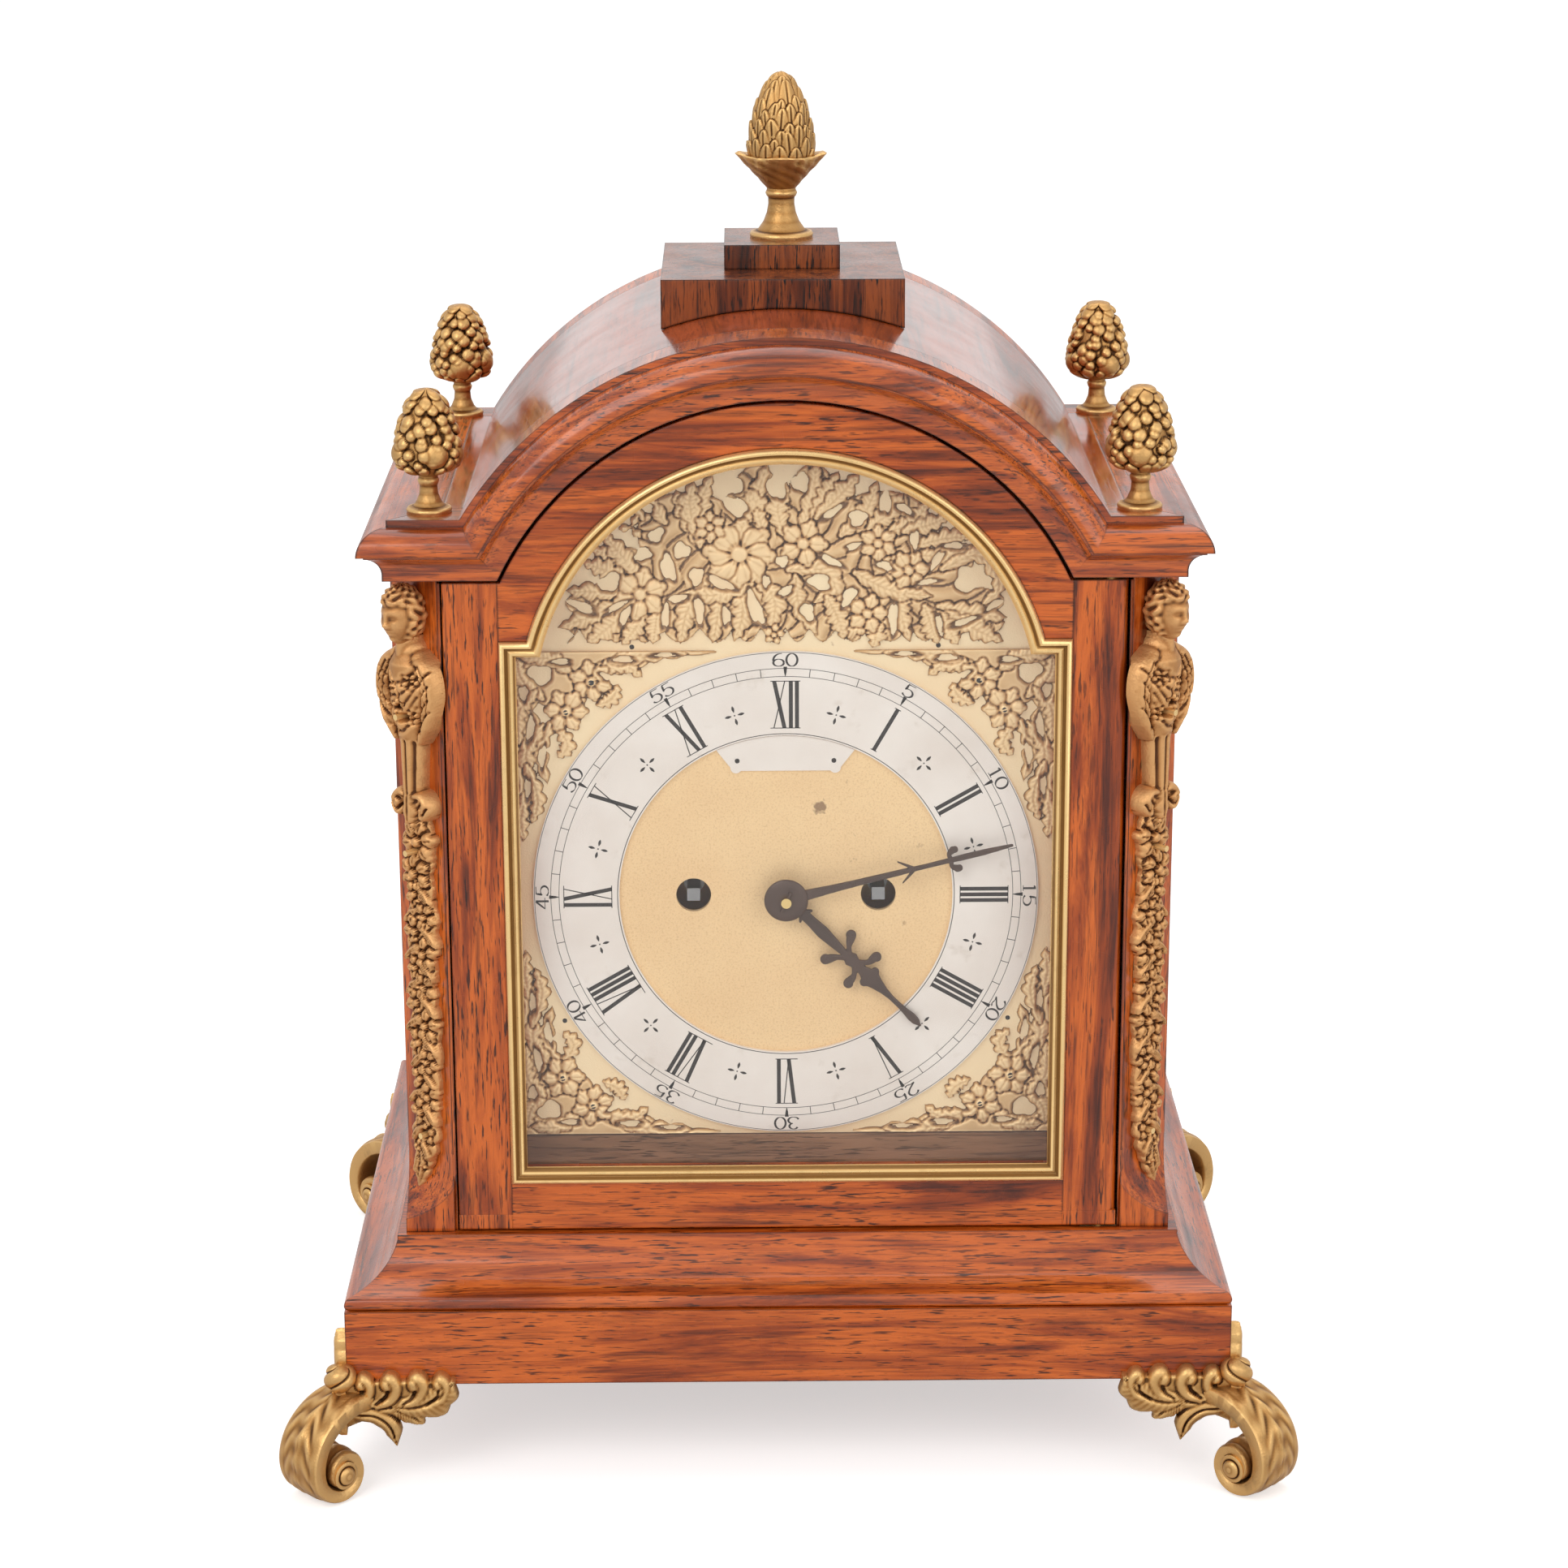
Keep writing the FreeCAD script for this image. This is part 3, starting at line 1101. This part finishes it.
def escape_wheel():
    x, z = place("escape")
    y = ESCAPE_WHEEL_Y
    points = []
    pitch = 2 * math.pi / ESCAPE_TEETH
    for k in range(ESCAPE_TEETH):
        a = k * pitch
        for radius, turn in ((ESCAPE_RADIUS - 2.6, -0.15), (ESCAPE_RADIUS, 0.2), (ESCAPE_RADIUS, 0.26),
                             (ESCAPE_RADIUS - 2.6, 0.12)):
            points.append((x + radius * math.sin(a + turn * pitch), z + radius * math.cos(a + turn * pitch)))
    wheel = plate_xz(points, y, y + 1.0)
    wheel = spoked(wheel, x, z, 3.2, ESCAPE_RADIUS - 4.2, y, y + 1.0, width=1.8)
    pinion = toothed(x, z, ESCAPE_PINION_LEAVES, THIRD_MODULE, THIRD_WHEEL_Y - 1.0, THIRD_WHEEL_Y + 2.5,
                     heading("escape", "third"), pinion=True, gap=True)
    slim = rod(x, z, FINE_PIVOT_RADIUS, FRONT_PLATE, BACK_FACE)
    return fuse(slim, wheel, pinion)


def barrel(name):
    """Spring barrel: drum with its great wheel at one end and a cap at the other.

    The strike barrel is turned end for end, clear of the going train's centre pinion.
    """
    x, z = place(name)
    y = GREAT_Y
    drum_end = y + GREAT_THICKNESS + BARREL_LENGTH
    wheel = toothed(x, z, GREAT_TEETH, TRAIN_MODULE, y, y + GREAT_THICKNESS, heading(name, "centre"),
                    gap=True)
    drum = rod(x, z, BARREL_RADIUS, y, drum_end)
    well = rod(x, z, BARREL_RADIUS - BARREL_WALL, y + 3.5, drum_end)
    bore = rod(x, z, WINDING_RADIUS + RUNNING_GAP, y - 1, drum_end + 1)
    cap = rod(x, z, BARREL_RADIUS - BARREL_WALL, drum_end - BARREL_WALL, drum_end)
    whole = group(fuse(wheel, drum).cut(well).cut(bore), cap.cut(bore))
    if name == "strike":
        whole = whole.mirror(Vector(0, (y + drum_end) / 2, 0), Vector(0, 1, 0))
    return whole


def winding_arbor(name):
    """Winding arbor: square end behind the dial hole, ratchet behind the back plate."""
    x, z = place(name)
    front = DIAL_FACE + 0.4
    half = WINDING_SQUARE / 2
    square = box(x - half, x + half, front, FRONT_PLATE - 4.0, z - half, z + half)
    shaft = rod(x, z, WINDING_RADIUS, FRONT_PLATE - 4.0, PLATES_OUT - END_SHAKE)
    pivot = rod(x, z, 2.0, PLATES_OUT - END_SHAKE, BACK_FACE + 0.5)
    ratchet_y = BACK_FACE + 0.5
    points = []
    for k in range(RATCHET_TEETH):
        a = 2 * math.pi * k / RATCHET_TEETH
        b = 2 * math.pi * (k + 0.9) / RATCHET_TEETH
        points.append((x + (RATCHET_RADIUS - 1.2) * math.sin(a), z + (RATCHET_RADIUS - 1.2) * math.cos(a)))
        points.append((x + RATCHET_RADIUS * math.sin(b), z + RATCHET_RADIUS * math.cos(b)))
    ratchet = plate_xz(points, ratchet_y, ratchet_y + 1.6)
    return fuse(square, shaft, pivot, ratchet)


# ---- movement frame --------------------------------------------------------------------

def plate_blank(y0, y1):
    half = PLATE_WIDTH / 2
    return box(-half, half, y0, y1, CZ - PLATE_BOTTOM, CZ + PLATE_TOP)


def pillar_places():
    x = PLATE_WIDTH / 2 - PILLAR_INSET
    return [(-x, CZ - PLATE_BOTTOM + PILLAR_INSET), (x, CZ - PLATE_BOTTOM + PILLAR_INSET),
            (-x, CZ + PLATE_TOP - PILLAR_INSET), (x, CZ + PLATE_TOP - PILLAR_INSET)]


def bored(plate, y0, y1, front):
    """Drills the holes that the arbors run in."""
    holes = [("third", PIVOT_RADIUS), ("escape", FINE_PIVOT_RADIUS), ("pallet", PIVOT_RADIUS),
             ("hammer", PIVOT_RADIUS)]
    holes.append(("centre", ARBOR_RADIUS if front else PIVOT_RADIUS))
    for name in ("going", "strike"):
        holes.append((name, WINDING_RADIUS if front else 2.0))
    for name, radius in holes:
        x, z = place(name)
        plate = plate.cut(rod(x, z, radius + RUNNING_GAP, y0 - 1, y1 + 1))
    return plate


def front_plate():
    plate = bored(plate_blank(FRONT_PLATE, PLATES_IN), FRONT_PLATE, PLATES_IN, True)
    x, z = place("minute")
    stud = rod(x, z, 0.55, HOUR_WHEEL_Y - 1.0, FRONT_PLATE)
    return fuse(plate, stud)


def back_plate():
    """Back plate with its four riveted pillars."""
    plate = bored(plate_blank(PLATES_OUT, BACK_FACE), PLATES_OUT, BACK_FACE, False)
    pillars = []
    for x, z in pillar_places():
        waist = turned([(0, 0), (PILLAR_RADIUS, 0), (PILLAR_RADIUS, 3), ((2.6, 7), (2.6, 12)),
                        (2.6, 18), ((4.4, 21), (2.6, 24)), (2.6, 30), ((2.6, 35), (PILLAR_RADIUS, 39)),
                        (PILLAR_RADIUS, PLATE_SPACING), (0, PLATE_SPACING)],
                       (x, PLATES_IN, z), axis=(0, 1, 0))
        pillars.append(waist)
    return fuse(plate, *pillars)


def suspension_cock():
    """Bracket behind the back plate with the pin that the pendulum hangs from."""
    z = CZ + PENDULUM_PIVOT
    top = z + 5.0
    block = box(-9.0, 9.0, BACK_FACE, BACK_FACE + 3.0, z - 2.0, top)
    arm = box(-4.0, 4.0, BACK_FACE + 3.0, PENDULUM_Y - 2.0, z - 2.0, top)
    pin = rod(0, z, PIVOT_RADIUS, PENDULUM_Y - 2.0, PENDULUM_Y + 2.6)
    head = rod(0, z, 2.0, PENDULUM_Y + 2.2, PENDULUM_Y + 3.2)
    return fuse(block, arm, pin, head)


# ---- escapement, pendulum, strike ------------------------------------------------------

def pallet_arbor():
    """Anchor over the escape wheel, with the crutch behind the back plate."""
    x, z = place("pallet")
    y = ESCAPE_WHEEL_Y
    tip_radius = ESCAPE_RADIUS + PALLET_CLEARANCE
    ex, ez = place("escape")
    reach = tip_radius / math.sqrt(2)
    steps = [(x, z + 3.2), (ex + reach + 3.4, ez + reach + 3.0), (ex + reach + 1.9, ez + reach - 0.4),
             (ex + reach, ez + reach), (x, z - 2.6),
             (ex - reach, ez + reach), (ex - reach - 1.9, ez + reach - 0.4),
             (ex - reach - 3.4, ez + reach + 3.0)]
    anchor = plate_xz(steps, y - 0.6, y + 1.6)
    shaft = rod(x, z, PIVOT_RADIUS, FRONT_PLATE, BACK_FACE)
    thick = rod(x, z, ARBOR_RADIUS, PLATES_IN + END_SHAKE, PLATES_OUT - END_SHAKE)
    crutch_y = BACK_FACE + END_SHAKE
    hub = rod(x, z, 2.2, crutch_y, crutch_y + 2.0)
    arm = box(-1.2, 1.2, crutch_y, crutch_y + 1.2, z - CRUTCH_LENGTH, z)
    slot = PENDULUM_ROD_RADIUS + FORK_GAP
    foot_y = PENDULUM_Y + PENDULUM_ROD_RADIUS + 1.0
    low = z - CRUTCH_LENGTH
    yoke = box(-slot - 1.4, slot + 1.4, crutch_y, foot_y, low - 1.6, low)
    gap = box(-slot, slot, crutch_y + 1.2, foot_y + 1, low - 2.6, low + 1)
    return fuse(anchor, shaft, thick, hub, arm, yoke.cut(gap))


def pendulum():
    """Pendulum: eye, rod, lens-shaped bob and rating nut."""
    z = CZ + PENDULUM_PIVOT
    low = z - PENDULUM_LENGTH
    eye = rod(0, z, 2.4, PENDULUM_Y - 1.6, PENDULUM_Y + 1.6)
    hang = post(0, PENDULUM_Y, PENDULUM_ROD_RADIUS, low - BOB_RADIUS - 8.0, z - 1.6)
    bore = rod(0, z, PIVOT_RADIUS + RUNNING_GAP, PENDULUM_Y - 3, PENDULUM_Y + 3)
    half = BOB_THICKNESS / 2
    bob = turned([(0, -half), ((BOB_RADIUS * 0.62, -half * 0.72), (BOB_RADIUS, -0.6)),
                  (BOB_RADIUS, 0.6), ((BOB_RADIUS * 0.62, half * 0.72), (0, half))],
                 (0, PENDULUM_Y, low), axis=(0, 1, 0))
    nut = post(0, PENDULUM_Y, 3.6, low - BOB_RADIUS - 4.5, low - BOB_RADIUS - 0.5)
    rod_bore = post(0, PENDULUM_Y, PENDULUM_ROD_RADIUS, low - BOB_RADIUS - 9, low + BOB_RADIUS + 1)
    hanger = fuse(eye, hang).cut(bore)
    return group(hanger, bob.cut(rod_bore), nut.cut(rod_bore))


def bell():
    """Bell over the back of the movement, on a stand from the back plate."""
    y = BACK_FACE + BELL_SET_BACK
    rim = CZ + BELL_RIM
    r, w = BELL_RADIUS, BELL_WALL
    cup = turned([(r, 0), ((r * 0.82, r * 0.5), (2.4, r * 0.82)), (2.4, r * 0.82 - w),
                  ((r * 0.82 - w, r * 0.5 - w * 0.6), (r - w, 0))], (0, y, rim))
    stem = post(0, y, 2.2, rim - 6.0, rim + r * 0.82 + 3.0)
    nut = post(0, y, 4.0, rim + r * 0.82, rim + r * 0.82 + 3.0)
    strap_top = rim - 6.0 + BELL_STRAP
    strap = box(-5.0, 5.0, BACK_FACE, y + 4.0, rim - 6.0, strap_top)
    yoke = box(-14.5, 14.5, BACK_FACE, BACK_FACE + 5.0, rim - 6.0, strap_top)
    upright = box(9.5, 14.5, BACK_FACE, BACK_FACE + BELL_STRAP, CZ + PLATE_TOP - 12.0, strap_top)
    stand = fuse(stem, nut.cut(cup), strap, yoke, upright, mirrored(upright, x=True))
    return group(cup, stand.cut(cup))


def hammer():
    """Hammer arbor between the plates; its arm rises behind them to the bell's rim."""
    x, z = place("hammer")
    y = BACK_FACE + BELL_SET_BACK
    rim = CZ + BELL_RIM
    head_x = -(BELL_RADIUS + HAMMER_RADIUS + HAMMER_GAP)
    head_z = rim + HAMMER_RADIUS * 0.4
    shaft = rod(x, z, PIVOT_RADIUS, FRONT_PLATE, BACK_FACE + 0.5)
    thick = rod(x, z, ARBOR_RADIUS, PLATES_IN + END_SHAKE, PLATES_OUT - END_SHAKE)
    tail = rod(x, z, ARBOR_RADIUS, BACK_FACE + 0.5, y + 1.5)
    ball = Part.makeSphere(HAMMER_RADIUS, Vector(head_x, y, head_z))
    reach = Vector(head_x - x, 0, head_z - z)
    arm = Part.makeCylinder(1.2, reach.Length - 1.0, Vector(x, y, z), reach)
    lift = box(x - 1.5, x + 13.0, PLATES_IN + 24.0, PLATES_IN + 25.5, z - 1.2, z + 1.2)
    return fuse(shaft, thick, tail, ball, arm, lift)


# ---- fixings ---------------------------------------------------------------------------

def case_hardware():
    """Pins of the corner mounts, foot screws and the sockets of both doors."""
    parts = []
    for pin in mount_pins():
        parts += [pin, mirrored(pin, x=True)]
    x, y = foot_screw_place()
    low = FOOT_HEIGHT - FOOT_FLANGE
    screw = fuse(post(x, y, FOOT_SCREW_RADIUS * 2, low - 1.2, low), post(x, y, FOOT_SCREW_RADIUS, low, low + 9.0))
    for flip_x in (False, True):
        for flip_y in (False, True):
            parts.append(mirrored(screw, x=flip_x, y=flip_y))
    parts += sockets()
    parts += [half_turn(s) for s in sockets()]
    return group(*parts)


def drill_plinth(body):
    x, y = foot_screw_place()
    hole = post(x, y, FOOT_SCREW_RADIUS, FOOT_HEIGHT, FOOT_HEIGHT + 7.0 + FOOT_FLANGE)
    for flip_x in (False, True):
        for flip_y in (False, True):
            body = body.cut(mirrored(hole, x=flip_x, y=flip_y))
    return body


# ---- the whole clock -------------------------------------------------------------------

def make_case():
    nodes["plinth"] = drill_plinth(plinth())
    ring = base_moulding()
    for block in socket_blocks(Z_CASE - SOCKET_DEPTH, Z_CASE):
        ring = ring.cut(half_turn(block))
    nodes["base_moulding"] = ring
    nodes["base_board"] = base_board()
    nodes["side_panel_right"] = side_panel()
    nodes["side_panel_left"] = mirrored(side_panel(), x=True)
    nodes["dial_mask"] = dial_mask()
    nodes["seat_board"] = seat_board()
    front = cornice_front()
    nodes["cornice_front"] = front
    nodes["cornice_rear"] = half_turn(front)
    side = cornice_side()
    nodes["cornice_sides"] = group(side, mirrored(side, x=True))
    nodes["roof"] = roof()
    nodes["finial_block_lower"] = lower_block()
    nodes["finial_block_upper"] = upper_block()
    nodes["case_hardware"] = case_hardware()


def make_movement():
    nodes["movement_front_plate"] = front_plate()
    nodes["movement_back_plate"] = group(back_plate(), suspension_cock())
    nodes["bell"] = bell()
    nodes["centre_arbor"] = centre_arbor()
    nodes["cannon_wheel"] = cannon()
    nodes["minute_hand"] = minute_hand()
    nodes["hour_hand"] = hour_hand()
    nodes["hour_wheel"] = hour_wheel()
    nodes["minute_wheel"] = minute_wheel()
    nodes["going_barrel"] = barrel("going")
    nodes["strike_barrel"] = barrel("strike")
    nodes["winding_arbor_going"] = winding_arbor("going")
    nodes["winding_arbor_strike"] = winding_arbor("strike")
    nodes["third_wheel"] = third_wheel()
    nodes["escape_wheel"] = escape_wheel()
    nodes["pallet_arbor"] = pallet_arbor()
    nodes["pendulum"] = pendulum()
    nodes["hammer"] = hammer()


make_case()
make_finials()
make_feet()
make_corner_mounts()
make_front_door()
make_back_door()
make_dial()
make_movement()

os.makedirs("parts", exist_ok=True)
for name, shape in nodes.items():
    shape.exportStep("parts/%s.step" % name)
print(len(nodes), "nodes;", "invalid:", [n for n, s in nodes.items() if not s.isValid()])
